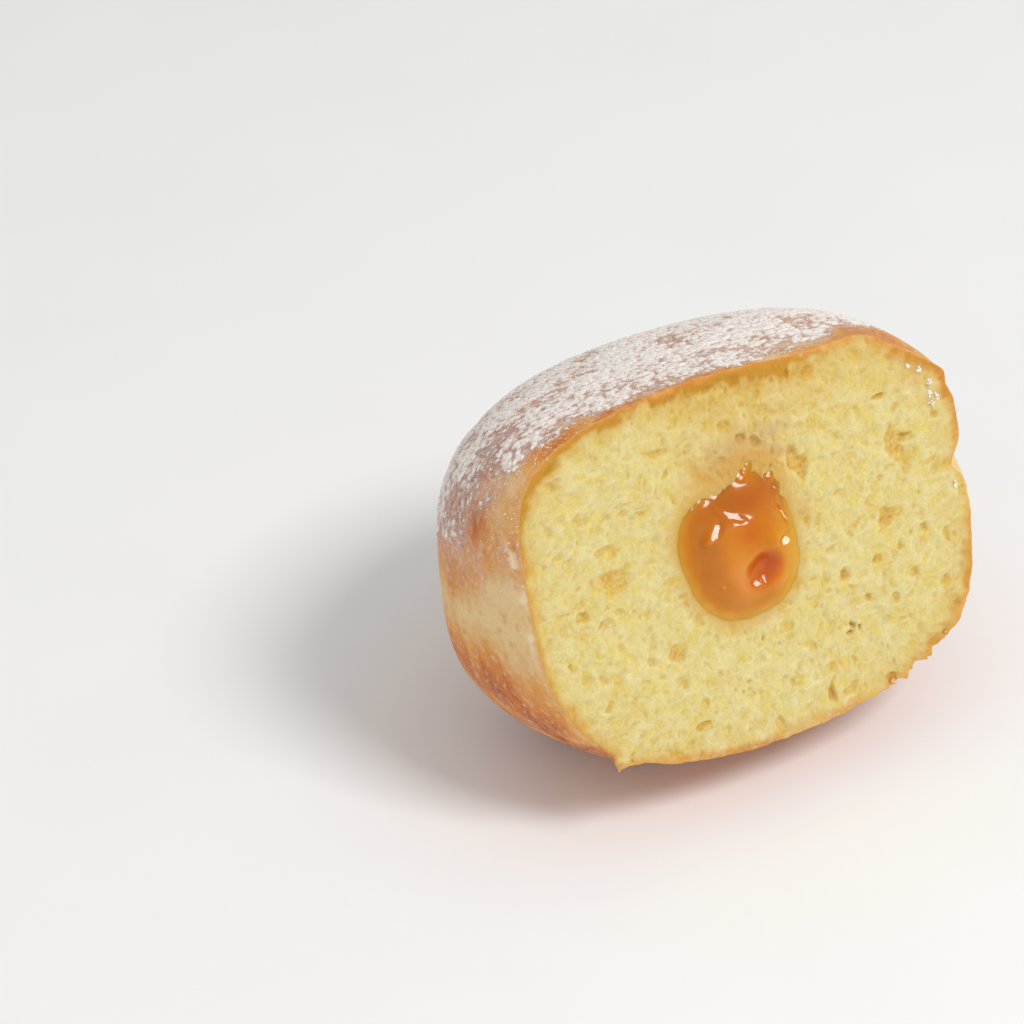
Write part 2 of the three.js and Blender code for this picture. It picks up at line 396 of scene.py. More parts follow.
def edge_tilt(around):
    """Tilt of the edge of the cut."""
    return np.interp(around, EDGE_ANGLES, EDGE_TILTS)


def edge_radius(around):
    """Distance from the middle of the face to the edge of the cut."""
    return np.interp(around, EDGE_ANGLES, EDGE_RADII)


def leaned(points):
    """Points of the bun's frame tipped back by LEAN_BACK."""
    lean = math.radians(LEAN_BACK)
    y = points[..., 1] * math.cos(lean) + points[..., 2] * math.sin(lean)
    z = -points[..., 1] * math.sin(lean) + points[..., 2] * math.cos(lean)
    return np.stack([points[..., 0], y, z], -1)


def bun_origin():
    """Place of the bun's centre in the row frame, and the table's level from that centre, in millimetres."""
    around, share = np.meshgrid(EDGE_ANGLES[::4], np.linspace(0, 1, 120))
    tilt = edge_tilt(around) + (math.pi - edge_tilt(around)) * share
    direction = from_front(tilt, around)
    points = leaned(direction * skin_radius(direction)[..., None]).reshape(-1, 3)
    low = points.min(0)
    high = points.max(0)
    table = low[2] + BASE_SQUASH
    box_low, box_high = (np.array(corner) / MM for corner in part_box("dough"))
    origin = (box_low + box_high) / 2 - (low + high) / 2
    origin[2] = box_low[2] - table
    return origin, table


BUN_ORIGIN, TABLE_LEVEL = bun_origin()


def to_row(points):
    """Points of the bun's frame as points of the row frame, in metres, none below the table."""
    placed = leaned(points)
    placed[..., 2] = np.maximum(placed[..., 2], TABLE_LEVEL)
    return (placed + BUN_ORIGIN) * MM


def disc_grid(cells):
    """A square grid pressed into the unit disc: share of the radius and angle at (cells + 1)^2 points."""
    line = np.linspace(-1, 1, cells + 1)
    u, v = np.meshgrid(line, line, indexing="ij")
    wide = np.abs(u) >= np.abs(v)
    reach = np.where(wide, u, v)
    safe = np.where(reach == 0, 1, reach)
    angle = np.where(wide, math.pi / 4 * v / safe, math.pi / 2 - math.pi / 4 * u / safe)
    x = reach * np.cos(angle)
    y = reach * np.sin(angle)
    return np.hypot(x, y), np.arctan2(y, x)


def grid_quads(index):
    """Quads between neighbouring entries of a grid of vertex numbers."""
    corners = (index[:-1, :-1], index[1:, :-1], index[1:, 1:], index[:-1, 1:])
    return np.stack(corners, -1).reshape(-1, 4)


def filling_wobble(angle):
    """How much further out than an ellipse the filling's outline lies at an angle, as a factor."""
    lobes = (share * np.cos(count * angle + phase) for count, share, phase in FILLING_LOBES)
    middle, spread_angle, run = FILLING_RUN
    return 1 + sum(lobes) + run * bell(angle, math.radians(middle), math.radians(spread_angle))


def filling_reach(x, z):
    """How far out a point of the face lies in the filling's outline, which is at 1."""
    across = (x - FILLING_X) / (FILLING_WIDTH / 2)
    upright = (z - FILLING_Z) / (FILLING_HEIGHT / 2)
    return np.hypot(across, upright) / filling_wobble(np.arctan2(upright, across))


def at_top_of_filling(x, z):
    """1 over the top of the filling, where it has soaked into the crumb, 0 round its sides and bottom."""
    up = (z - FILLING_Z) / FILLING_HEIGHT
    right = (x - FILLING_X) / FILLING_WIDTH
    angle = np.arctan2(up, right)
    return smoothstep(0.1, 0.7, np.sin(angle)) * (1 - 0.92 * smoothstep(0.1, 0.65, -np.cos(angle)))


def cell_pores(x, z, cell, seed, reach, depth, share):
    """Depth of pores strewn over the face, one to a cell in `share` of the cells, their radii in cells."""
    size = 96
    rng = np.random.default_rng(seed)
    jitter = rng.uniform(0.15, 0.85, (size, size, 2))
    radius = cell * rng.uniform(*reach, (size, size))
    stretch = rng.uniform(0.75, 1.35, (size, size))
    deep = depth * rng.uniform(0.4, 1, (size, size)) * (rng.random((size, size)) < share)
    column = np.floor(x / cell).astype(int)
    row = np.floor(z / cell).astype(int)
    deepest = np.zeros_like(x)
    for i, j in itertools.product((-1, 0, 1), repeat=2):
        a = (column + i) % size
        b = (row + j) % size
        dx = x - (column + i + jitter[a, b, 0]) * cell
        dz = z - (row + j + jitter[a, b, 1]) * cell
        away = np.hypot(dx * stretch[a, b], dz / stretch[a, b]) / radius[a, b]
        deepest = np.maximum(deepest, deep[a, b] * (1 - smoothstep(0.5, 1.0, away)))
    return deepest


def crumb_relief(x, z):
    """Depth of the cut crumb below the cut's plane, and how hollow it is, from 0 on top to 1 in a pore."""
    flat = flat_points(x, z)
    bent_x = x + 0.6 * layered_noise(flat, 2.2, 11)
    bent_z = z + 0.6 * layered_noise(flat, 2.2, 21)
    pores = np.zeros_like(x)
    for strewn in STREWN_PORES:
        pores = np.maximum(pores, cell_pores(bent_x, bent_z, *strewn))
    for pore_x, pore_z, half_width, half_height, depth in PORES.values():
        away = np.hypot((bent_x - pore_x) / half_width, (bent_z - pore_z) / half_height)
        pores = np.maximum(pores, depth * (1 - smoothstep(0.45, 1.2, away)))
    swell = 0.3 * smooth_noise(flat, 6.0, 41) * smoothstep(1.0, 1.4, filling_reach(x, z))
    fluff = 0.10 * layered_noise(flat, 1.5, 43) + 0.07 * layered_noise(flat, 0.6, 42, 2)
    hollow = np.clip(0.25 + 1.1 * pores + 1.6 * fluff, 0, 1)
    return swell + fluff + pores, hollow


def face_depth(x, z):
    """Depth of the cut, level at its edge and under the sides of the filling, and how hollow it is."""
    depth, hollow = crumb_relief(x, z)
    from_edge = edge_radius(np.arctan2(z, x)) - np.hypot(x, z)
    clear = np.maximum(smoothstep(1.0, 1.15, filling_reach(x, z)), at_top_of_filling(x, z))
    return depth * smoothstep(0.0, 1.2, from_edge) * clear, hollow


def ragged(around):
    """How far the torn edge of the cut stands out."""
    angle = np.degrees(around)
    tears = EVEN_TEARS + bells(angle, DEEPER_TEARS)
    return tears * layered_noise(ring_points(around, 28), 1.3, 51) + bells(angle, EDGE_STEPS)


def notch(around):
    """How far the notch in the right edge is cut in."""
    return bells(np.degrees(around), NOTCH)


def torn_edge(around):
    """How much further out than the bun's form the edge of the cut lies, as a factor."""
    return 1 + (ragged(around) - notch(around)) / edge_radius(around)


def behind_cut(points):
    """How far points of the skin lie behind the plane of the cut."""
    return np.maximum(points[..., 1] + CUT_OFFSET, 0)


def sugar_level(points):
    """Height of points of the skin over the lower limit of the icing sugar."""
    x = points[..., 0]
    from_cut = behind_cut(points)
    drift = 2.2 * layered_noise(points, 8.0, 61, 2) + 1.6 * layered_noise(points, 2.4, 63, 2)
    limit = SUGAR_LIMIT + SUGAR_CLIMB_AT_CUT * np.exp(-from_cut / SUGAR_CLIMB_REACH)
    wiped = SUGAR_CLIMB_WIPED * smoothstep(14.5, 19.5, x + 0.6 * drift) * smoothstep(9, 3, from_cut)
    left_climb = SUGAR_CLIMB_LEFT * smoothstep(-20, -28, x)
    return points[..., 2] + drift - limit - wiped - left_climb


def sugar_cover(points):
    """How thickly icing sugar lies at points of the skin, from 0 to 1, thinned at the left end as painted
    shade.
    """
    clean_edge = smoothstep(0.2, 1.6, behind_cut(points) + 0.9 * layered_noise(points, 1.8, 65, 2))
    # Painted shade: less sugar at the left end, so the crust under it darkens that end.
    painted_shade_left = 1 - 0.22 * smoothstep(-15, -25, points[..., 0])
    return smoothstep(-2.5, 8.0, sugar_level(points)) * clean_edge * painted_shade_left


def bake_and_shade(points):
    """How brown the crust is at points of the skin, from 0 to 1: fried, and browner high on the left
    shoulder as painted shade.
    """
    x = points[..., 0]
    z = points[..., 2]
    from_cut = behind_cut(points)
    streaks = layered_noise(points * (1.0, 1.0, 0.3), 1.9, 71)
    patches = layered_noise(points * (1.0, 1.0, 0.6), 7.0, 74)
    pale_ring = bell(z + 1.2 * patches, 2.2, 2.5)
    low = smoothstep(-0.5, -10, z + 2.0 * patches)
    # Painted shade: browner crust high on the left shoulder, behind the cut.
    painted_shade_left_shoulder = smoothstep(-16, -26, x) * smoothstep(8, 13, z) * smoothstep(2, 8, from_cut)
    wiped_right = smoothstep(13, 19, x) * smoothstep(5, 12, z)
    under_sugar = smoothstep(3, 9, sugar_level(points))
    left_side = smoothstep(-20, -26, x) * bell(z, 8.5, 2.8)
    low_at_cut = np.exp(-from_cut / 5.0) * bell(z, -9.0, 5.0)
    brown = 0.46 + 0.36 * low + 0.3 * painted_shade_left_shoulder + 0.25 * under_sugar + 0.07 * left_side
    brown -= 0.1 * wiped_right + 0.46 * pale_ring + 0.7 * low_at_cut
    uneven = 0.3 * patches + (0.2 + 0.22 * low) * (1 - 0.5 * wiped_right) * streaks
    even = np.maximum(0.4 * pale_ring, 0.7 * np.maximum(left_side, low_at_cut))
    return np.clip(brown + uneven * (1 - even), 0, 1)


def flecks(points):
    """White flecks on the skin beside the left edge of the cut, from 0 to 1."""
    x, y, z = np.moveaxis(points, -1, 0)
    line = 0.9 + 0.12 * np.maximum(z - 3.4, 0)
    beside_cut = bell(y + CUT_OFFSET, line, 0.6) * smoothstep(-7, 3, z) * smoothstep(13, 9, z)
    return beside_cut * smoothstep(-22, -25, x) * smoothstep(-0.25, 0.35, layered_noise(points, 1.7, 66))


def dust_film(points):
    """How much the finest sugar whitens the crust at points of the skin, from 0 to 1."""
    x = points[..., 0]
    z = points[..., 2]
    from_cut = behind_cut(points)
    streaks = layered_noise(points * (1.0, 1.0, 0.2), 1.6, 77)
    bare_edge = smoothstep(0.6, 2.4, from_cut + 0.8 * streaks - 1.4 * smoothstep(-8, -20, x))
    film = smoothstep(-4, 7, sugar_level(points) + 2.5 * streaks) * bare_edge
    low_haze = smoothstep(0.0, 0.6, streaks) * smoothstep(-2, -6, z)
    left_haze = np.maximum(bell(z, 9.5, 3.5), np.exp(-from_cut / 4.0) * bell(z, -8, 4))
    left_haze *= smoothstep(-20, -26, x) * smoothstep(-0.6, 0.6, streaks)
    return np.maximum(0.7 * film, 0.12 * low_haze + 0.4 * left_haze)


def new_piece(name, points, faces, material, marks):
    """A mesh piece that rides on the part: points in the bun's frame, faces, named vertex marks."""
    mesh = bpy.data.meshes.new(name)
    mesh.vertices.add(len(points))
    mesh.vertices.foreach_set("co", to_row(points).astype(np.float32).ravel())
    mesh.loops.add(faces.size)
    mesh.loops.foreach_set("vertex_index", faces.astype(np.int32).ravel())
    mesh.polygons.add(len(faces))
    mesh.polygons.foreach_set("loop_start", np.arange(0, faces.size, faces.shape[1], dtype=np.int32))
    mesh.polygons.foreach_set("use_smooth", np.full(len(faces), True))
    for mark, values in marks.items():
        attribute = mesh.attributes.new(mark, "FLOAT", "POINT")
        attribute.data.foreach_set("value", values.astype(np.float32).ravel())
    mesh.update(calc_edges=True)
    mesh.validate()
    mesh.materials.append(material)
    piece = bpy.data.objects.new(name, mesh)
    bpy.context.scene.collection.objects.link(piece)
    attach(piece, "root")
    return piece


def new_closed_piece(name, front, back, front_marks, back_marks, material):
    """A closed piece of two disc grids that share the front's rim. A mark that a side lacks is 0 there."""
    count = len(front)
    inner = (slice(1, -1), slice(1, -1))
    front_index = np.arange(count * count).reshape(count, count)
    back_index = front_index.copy()
    back_index[inner] = count * count + np.arange((count - 2) ** 2).reshape(count - 2, count - 2)
    points = np.concatenate([front.reshape(-1, 3), back[inner].reshape(-1, 3)])
    faces = np.concatenate([grid_quads(front_index), grid_quads(back_index)[:, ::-1]])
    marks = {}
    unmarked = np.zeros((count, count))
    for mark in {**front_marks, **back_marks}:
        before = front_marks.get(mark, unmarked)
        behind = back_marks.get(mark, unmarked)
        marks[mark] = np.concatenate([before.ravel(), behind[inner].ravel()])
    return new_piece(name, points, faces, material, marks)


def paint(name):
    """A colour of the palette as the shader's linear RGBA."""
    shown = np.array(PALETTE[name]) / 255
    light = np.where(shown <= 0.04045, shown / 12.92, ((shown + 0.055) / 1.055) ** 2.4)
    return (*light.tolist(), 1.0)


def feed(tree, socket, value):
    """Links an input to the socket that feeds it, or sets its value."""
    if isinstance(value, bpy.types.NodeSocket):
        tree.links.new(value, socket)
    else:
        socket.default_value = value


def feed_inputs(tree, node, inputs):
    """Feeds a node's inputs by name."""
    for name, value in inputs.items():
        feed(tree, node.inputs[name], value)


def add_node(tree, kind, inputs, **settings):
    """A node with its settings and inputs."""
    made = tree.nodes.new(kind)
    for name, value in settings.items():
        setattr(made, name, value)
    feed_inputs(tree, made, inputs)
    return made


def mark_value(tree, name):
    """A piece's vertex mark."""
    return add_node(tree, "ShaderNodeAttribute", {}, attribute_name=name).outputs["Fac"]


def noise_value(tree, scale, detail):
    """Noise fixed to the object, its scale per metre."""
    place = add_node(tree, "ShaderNodeTexCoord", {}).outputs["Object"]
    inputs = {"Vector": place, "Scale": scale, "Detail": detail}
    return add_node(tree, "ShaderNodeTexNoise", inputs).outputs["Fac"]


def ramp(tree, value, stops):
    """Colours of the palette along a value: stops are (place, name)."""
    made = add_node(tree, "ShaderNodeValToRGB", {"Fac": value})
    elements = made.color_ramp.elements
    while len(elements) < len(stops):
        elements.new(0.5)
    for element, (place, name) in zip(elements, stops):
        element.position = place
        element.color = paint(name)
    return made.outputs["Color"]


def mix(tree, share, first, second):
    """Two colours mixed by the share of the second, which counts as 0 below 0 and as 1 above 1."""
    made = add_node(tree, "ShaderNodeMix", {}, data_type="RGBA")
    # A colour mix has its factor in socket 0 and its colours in sockets 6 and 7
    for place, value in ((0, share), (6, first), (7, second)):
        feed(tree, made.inputs[place], value)
    return made.outputs[2]


def spread(tree, value, low, high):
    """A value from 0 to 1 moved to the range low to high."""
    inputs = {"Value": value, "To Min": low, "To Max": high}
    return add_node(tree, "ShaderNodeMapRange", inputs).outputs["Result"]


def product(tree, first, second):
    """Two values multiplied."""
    made = add_node(tree, "ShaderNodeMath", {}, operation="MULTIPLY")
    for socket, value in zip(made.inputs, (first, second)):
        feed(tree, socket, value)
    return made.outputs[0]


def new_material(name):
    """A material with a node tree, and its principled shader."""
    material = bpy.data.materials.new(name)
    material.use_nodes = True
    return material, material.node_tree, material.node_tree.nodes["Principled BSDF"]


def bump(tree, height, distance):
    """Fine relief in the shading."""
    return add_node(tree, "ShaderNodeBump", {"Height": height, "Distance": distance}).outputs["Normal"]


def mottled(tree, colour, noise, layers):
    """A colour with others mixed in by noise."""
    for kind, low, high, name in layers:
        colour = mix(tree, spread(tree, noise[kind], low, high), colour, paint(name))
    return colour


def crumb_colour(tree, noise):
    """Pale yellow crumb, lighter on top and darker in pores as painted light and shade, browned under the
    crust with painted shade high up, soaked and stained by the filling.
    """
    # Painted light and shade: the crumb is lighter where it stands up, and darker and yellower the deeper it
    # lies in a pore.
    colour = ramp(tree, mark_value(tree, "hollow"), (
        (0.0, "crumb, raised"),
        (0.3, "crumb, level"),
        (0.6, "crumb, hollow"),
        (1.0, "crumb, deep pore"),
    ))
    colour = mottled(tree, colour, noise, CRUMB_MOTTLING)
    # This mark is browning under the crust, and painted shade high up and in pores.
    toast_and_shade = mark_value(tree, "toast_and_shade")
    toasted_and_shaded = ramp(tree, toast_and_shade, ((0.5, "crumb, toasted"), (1.0, "crumb, well toasted")))
    colour = mix(tree, toast_and_shade, colour, toasted_and_shaded)
    colour = mix(tree, mark_value(tree, "soak"), colour, paint("crumb, soaked"))
    return mix(tree, mark_value(tree, "stain"), colour, paint("crumb, stained"))


def crust_colour(tree, noise):
    """Crust from pale to dark as it is fried, browner on the left shoulder as painted shade, mottled, with a
    dust of sugar and white flecks.
    """
    colour = ramp(tree, mark_value(tree, "bake_and_shade"), (
        (0.0, "crust, pale"),
        (0.35, "crust, golden"),
        (0.65, "crust, brown"),
        (1.0, "crust, dark"),
    ))
    colour = mottled(tree, colour, noise, CRUST_MOTTLING)
    dust = product(tree, mark_value(tree, "dust"), spread(tree, noise["film"], -0.1, 1.5))
    colour = mix(tree, dust, colour, paint("crust, dusted"))
    return mix(tree, mark_value(tree, "fleck"), colour, paint("crust, flecks"))


def dough_material(name, scattering):
    """Matte crumb and smoother crust. `scattering` is the share of light that scatters inside."""
    material, tree, shader = new_material(name)
    noise = {kind: noise_value(tree, *settings) for kind, settings in DOUGH_NOISE.items()}
    in_crust = mark_value(tree, "crust")
    feed_inputs(tree, shader, {
        "Base Color": mix(tree, in_crust, crumb_colour(tree, noise), crust_colour(tree, noise)),
        "Roughness": spread(tree, in_crust, 0.85, 0.5),
        "Specular IOR Level": 0.3,
        "Subsurface Weight": scattering,
        "Subsurface Radius": (1.0, 0.6, 0.25),
        "Subsurface Scale": 0.0012,
        "Normal": bump(tree, noise["fine"], 0.00012),
    })
    return material


def caramel_material():
    """Glossy caramel: orange, yellower at its margin and fold, darker at its top, red in its dimple, with
    painted shade on the dimple's upper right wall.
    """
    material, tree, shader = new_material("caramel")
    swirl = noise_value(tree, 240.0, 3.0)
    colour = ramp(tree, swirl, ((0.3, "caramel, darker"), (0.7, "caramel, lighter")))
    for mark in ("thin", "edge", "veil", "shade", "deep"):
        colour = mix(tree, mark_value(tree, mark), colour, paint(f"caramel, {mark}"))
    feed_inputs(tree, shader, {
        "Base Color": colour,
        "Roughness": 0.15,
        "IOR": 1.48,
        "Specular IOR Level": 0.42,
        "Subsurface Weight": 0.8,
        "Subsurface Radius": (1.0, 0.4, 0.12),
        "Subsurface Scale": 0.0025,
    })
    return material


def sugar_material(name, scattering):
    """Dry white powder, tinted by the crust under it in fine specks where it is thin."""
    material, tree, shader = new_material(name)
    fine = noise_value(tree, 3000.0, 2.0)
    grain = noise_value(tree, 2300.0, 4.0)
    white = ramp(tree, fine, ((0.25, "sugar, shaded"), (0.75, "sugar, white")))
    share = product(tree, mark_value(tree, "thick"), spread(tree, grain, -0.75, 2.75))
    feed_inputs(tree, shader, {
        "Base Color": mix(tree, share, paint("sugar, thin"), white),
        "Roughness": 0.9,
        "Specular IOR Level": 0.2,
        "Subsurface Weight": scattering,
        "Subsurface Radius": (1.0, 0.95, 0.9),
        "Subsurface Scale": 0.0005,
        "Normal": bump(tree, fine, 0.00008),
    })
    return material


def at_left(around):
    """1 at the left of the cut, fading to 0 at its middle."""
    return smoothstep(-0.2, -0.8, np.cos(around))


def crust_rim(x, z, around, from_edge, blur):
    """How much crust shows round the cut, from 0 to 1: uneven, weak at the left, gone at the notch."""
    angle = np.degrees(around)
    thickness = RIM_THICKNESS + bells(angle, RIM_THICKER)
    rim = 1 - smoothstep(0.3 * thickness, 1.4 * thickness, from_edge + 0.3 * blur)
    broken = 0.4 + 0.6 * smoothstep(-0.5, 0.5, layered_noise(flat_points(x, z), 5.0, 87, 2))
    return rim * (1 - bell(angle, *NOTCH_MOUTH)) * broken * (0.6 - 0.35 * at_left(around))


def toasting_and_shade(x, z, around, from_edge, blur, hollow):
    """How browned the cut crumb is, from 0 to 1: browned under the crust, with painted shade just under the
    top crust, high up and in pores, less at the top right.
    """
    browner = np.maximum(smoothstep(0.1, 0.8, np.sin(around)), smoothstep(0.3, 0.9, np.cos(around)))
    toast_and_shade = (0.3 + 0.35 * browner) * (1 - smoothstep(0.2, 2.0, from_edge + 0.7 * blur))
    toast_and_shade += (0.12 + 0.18 * browner) * (1 - smoothstep(1, 5, from_edge + blur))
    toast_and_shade *= 1 - 0.7 * bell(np.degrees(around), *NOTCH_MOUTH)
    toast_and_shade += 0.3 * at_left(around) * (1 - smoothstep(0.2, 1.3, from_edge + 0.3 * blur))
    # Painted shade: darker amber just under the top crust and high up over the left half of the cut.
    under_top = (1 - smoothstep(0.2, 4.0, from_edge + 1.2 * blur)) * smoothstep(10, 14, z)
    toast_and_shade += 0.3 * bell(x, 4.0, 8.0) * under_top
    toast_and_shade += 0.38 * smoothstep(9, 17, z + 2 * blur) * smoothstep(-14, 0, x)
    pale_corner = bell(x, 16.0, 5.0) * smoothstep(10, 14, z)
    # Painted shade in pores: more of the amber the deeper the crumb lies.
    return np.clip(toast_and_shade * (1 - 0.55 * pale_corner) * (0.85 + 0.5 * hollow), 0, 1)


def staining(x, z, around, blur):
    """How strongly the filling has stained the crumb round it, from 0 to 1."""
    in_filling = filling_reach(x, z)
    seeping = 0.62 - 0.05 * np.cos(around) + 0.2 * blur + 0.1 * at_top_of_filling(x, z)
    halo = seeping * (1 - smoothstep(1.0, 1.24, in_filling + 0.08 * blur))
    touching = 0.75 * (1 - smoothstep(1.0, 1.07, in_filling + 0.02 * blur))
    along_upper_left = 0.6 * bell(x + z, 6.6, 0.8) * bell(x, -3.4, 1.6)
    return np.maximum(np.maximum(halo, touching), spots(x, z, CRUMB_STAINS) + along_upper_left)


def cut_face(share, around):
    """The cut crumb with the pocket for the filling, as points and the marks that colour them."""
    reach = edge_radius(around) * share * torn_edge(around)
    x = reach * np.cos(around)
    z = reach * np.sin(around)
    depth, hollow = face_depth(x, z)
    pocket_reach = 0.86 - 0.2 * at_top_of_filling(x, z)
    pocket = FILLING_DEPTH * np.sqrt(np.maximum(0, 1 - (filling_reach(x, z) / pocket_reach) ** 2))
    points = np.stack([x, -CUT_OFFSET + depth + pocket, z], -1)

    from_edge = edge_radius(around) * (1 - share)
    blur = layered_noise(flat_points(x, z), 1.5, 85)
    soak_x, soak_z, half_width, half_height = SOAKED_CRUMB
    soaked = np.hypot((x - soak_x) / half_width, (z - soak_z) / half_height) + 0.35 * blur
    marks = {
        "hollow": hollow,
        "toast_and_shade": toasting_and_shade(x, z, around, from_edge, blur, hollow),
        "stain": staining(x, z, around, blur),
        "soak": 0.6 * (1 - smoothstep(0.4, 1.1, soaked)),
        "crust": crust_rim(x, z, around, from_edge, blur),
        "bake_and_shade": RIM_BAKE + bells(np.degrees(around), RIM_BAKE_CHANGES) + 0.15 * blur,
    }
    return points, marks


def crust_skin(share, around):
    """Points of the crust: wrinkled, torn at the edge of the cut, the notch running out behind it."""
    edge = edge_tilt(around)
    tilt = math.pi - (math.pi - edge) * share
    direction = from_front(tilt, around)
    skin = direction * skin_radius(direction)[..., None]
    near_edge = np.exp(-(tilt - edge) / 0.05)
    behind_notch = np.exp(-(tilt - edge) / 0.25)
    wrinkles = 0.08 * layered_noise(skin * (1.0, 1.0, 0.45), 3.0, 81)
    skin = skin + direction * (wrinkles * (1 - near_edge))[..., None]
    notched = notch(around) / edge_radius(around) * (behind_notch - near_edge)
    return skin * (1 + (torn_edge(around) - 1) * near_edge - notched)[..., None]


def build_dough(material):
    """Crumb face and crust as one closed mesh, whose sides share the edge of the cut."""
    share, around = disc_grid(DOUGH_CELLS)
    face, face_marks = cut_face(share, around)
    skin = crust_skin(share, around)
    skin_marks = {
        "crust": np.ones_like(share),
        "bake_and_shade": bake_and_shade(skin),
        "dust": dust_film(skin),
        "fleck": 0.8 * flecks(skin),
    }
    piece = new_closed_piece("dough_crumb_and_crust", face, skin, face_marks, skin_marks, material)
    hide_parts("dough")


def press_glints(x, z, height):
    """The height of the filling's front with flat spots pressed into it."""
    for spot_x, spot_z, turn, half_length, half_width in FILLING_GLINTS.values():
        turn = math.radians(turn)
        right = x - spot_x
        up = z - spot_z
        level = height.flat[np.argmin(np.hypot(right, up))]
        along = (right * math.cos(turn) + up * math.sin(turn)) / half_length
        across = (up * math.cos(turn) - right * math.sin(turn)) / half_width
        share = 1 - smoothstep(0.7, 1.6, np.hypot(along, across))
        height = height + share * (level + GLINT_SLOPE[0] * right + GLINT_SLOPE[1] * up - height)
    return height


def in_dimple(x, z):
    """Place in the dimple, in its half sizes: to the right, upwards, and distance from its middle."""
    middle_x, middle_z, half_width, half_height = DIMPLE
    right = (x - middle_x) / half_width
    up = (z - middle_z) / half_height
    return right, up, np.hypot(right, up)


def dimple_fold(x, z):
    """The thick fold round the right of the dimple, from 0 to 1."""
    right, _, away = in_dimple(x, z)
    return bell(away, 1.5, 0.42) * smoothstep(0.1, 0.8, right / np.maximum(away, 0.01))


def dimple_reach(x, z):
    """How far out a point lies in the dimple, which ends at 1 and is drawn out away from its fold."""
    right, up, away = in_dimple(x, z)
    away_from_fold = smoothstep(0.0, 1.0, -(0.7 * right + 0.5 * up) / np.maximum(away, 0.01))
    return away / (1 + 0.45 * away_from_fold)


def filling_height(x, z, swing, around):
    """How far the filling stands out of the cut: margin, drop, fold, ragged top, dimple and flat spots."""
    flat = flat_points(x, z)
    dome_x, dome_z, half_width, half_height = FILLING_DOME
    square = np.abs((x - dome_x) / half_width) ** DOME_FULLNESS
    square += np.abs((z - dome_z) / half_height) ** DOME_FULLNESS
    margin = smoothstep(0.5, 1.05, square ** (1 / DOME_FULLNESS) + 0.02 * smooth_noise(flat, 3.2, 91))
    shelf = FILLING_SHELF * (1 + 0.3 * np.cos(around + math.radians(35)) * swing**2)
    height = shelf * (1 - swing**2) ** 1.3 + (FILLING_SWELL - FILLING_SHELF) * (1 - margin) * (1 - swing**6)
    height = height + FOLD_HEIGHT * dimple_fold(x, z) * (1 - swing**8)
    height = height + 0.03 * margin * layered_noise(flat, 1.8, 94, 2)
    soaked = at_top_of_filling(x, z) * smoothstep(0.55, 0.85, swing)
    crinkles = 0.24 * layered_noise(flat, 1.2, 92, 2) + 0.10 * smooth_noise(flat, 0.6, 97)
    height = height + soaked * (crinkles - 0.4)
    height = height - DIMPLE_DEPTH * (1 - smoothstep(0.15, 1.0, dimple_reach(x, z)))
    return press_glints(x, z, height) + 0.009 * smooth_noise(flat, 0.6, 98)


def filling_marks(x, z, swing):
    """The marks that colour the front of the filling."""
    right, up, _ = in_dimple(x, z)
    dimple = 1 - smoothstep(0.35, 1.05, dimple_reach(x, z))
    # Painted shade: the red is strongest on the dimple's upper right wall, which faces away from the key
    # light.
    dimple *= 0.55 + 0.45 * smoothstep(-0.6, 0.5, 0.6 * right + 0.8 * up)
    uneven = 0.04 * layered_noise(flat_points(x, z), 1.2, 99, 2)
    return {
        "thin": np.clip(smoothstep(0.7, 0.95, swing) + 0.8 * dimple_fold(x, z), 0, 1),
        "edge": 0.7 * smoothstep(0.76, 0.92, swing + uneven),
        "veil": spots(x, z, CARAMEL_VEIL),
        "shade": spots(x, z, CARAMEL_SHADE),
        "deep": np.maximum(dimple, spots(x, z, CARAMEL_CORE)),
    }


def build_filling(material):
    """Caramel: the front that swells out of the cut, and the plug behind it that runs into the crumb."""
    share, around = disc_grid(FILLING_CELLS)
    swing = np.sin(share * math.pi / 2)
    forward = np.cos(share * math.pi / 2)
    uneven = 0.025 * layered_noise(ring_points(around, 8), 1.8, 96, 2) * swing**4
    wobble = FILLING_SPILL * filling_wobble(around) * (1 + uneven)
    x = FILLING_X + swing * np.cos(around) * FILLING_WIDTH / 2 * wobble
    z = FILLING_Z + swing * np.sin(around) * FILLING_HEIGHT / 2 * wobble
    rim = FILLING_RIM * smoothstep(0.8, 1.0, swing)
    front = np.stack([x, -CUT_OFFSET - filling_height(x, z, swing, around) + rim, z], -1)
    plug = np.stack([x, -CUT_OFFSET + rim + FILLING_DEPTH * forward, z], -1)
    marks = filling_marks(x, z, swing)
    piece = new_closed_piece("caramel_filling", front, plug, marks, {}, material)
    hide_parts("filling")


def crown_direction(polar, azimuth):
    """Unit vectors at an angle `polar` from the top of the bun."""
    return np.stack([np.sin(polar) * np.cos(azimuth), np.sin(polar) * np.sin(azimuth), np.cos(polar)], -1)


def nearest_centre(points, cell, seed):
    """Distance from points (..., 3) to the nearest of random centres, one to a cell, in cells."""
    size = 64
    jitter = np.random.default_rng(seed).uniform(0.1, 0.9, (size, size, size, 3))
    scaled = points / cell
    middle = np.floor(scaled).astype(int)
    nearest = np.full(points.shape[:-1], np.inf)
    for step in itertools.product((-1, 0, 1), repeat=3):
        corner = middle + step
        place = corner % size
        centre = corner + jitter[place[..., 0], place[..., 1], place[..., 2]]
        nearest = np.minimum(nearest, np.linalg.norm(scaled - centre, axis=-1))
    return nearest


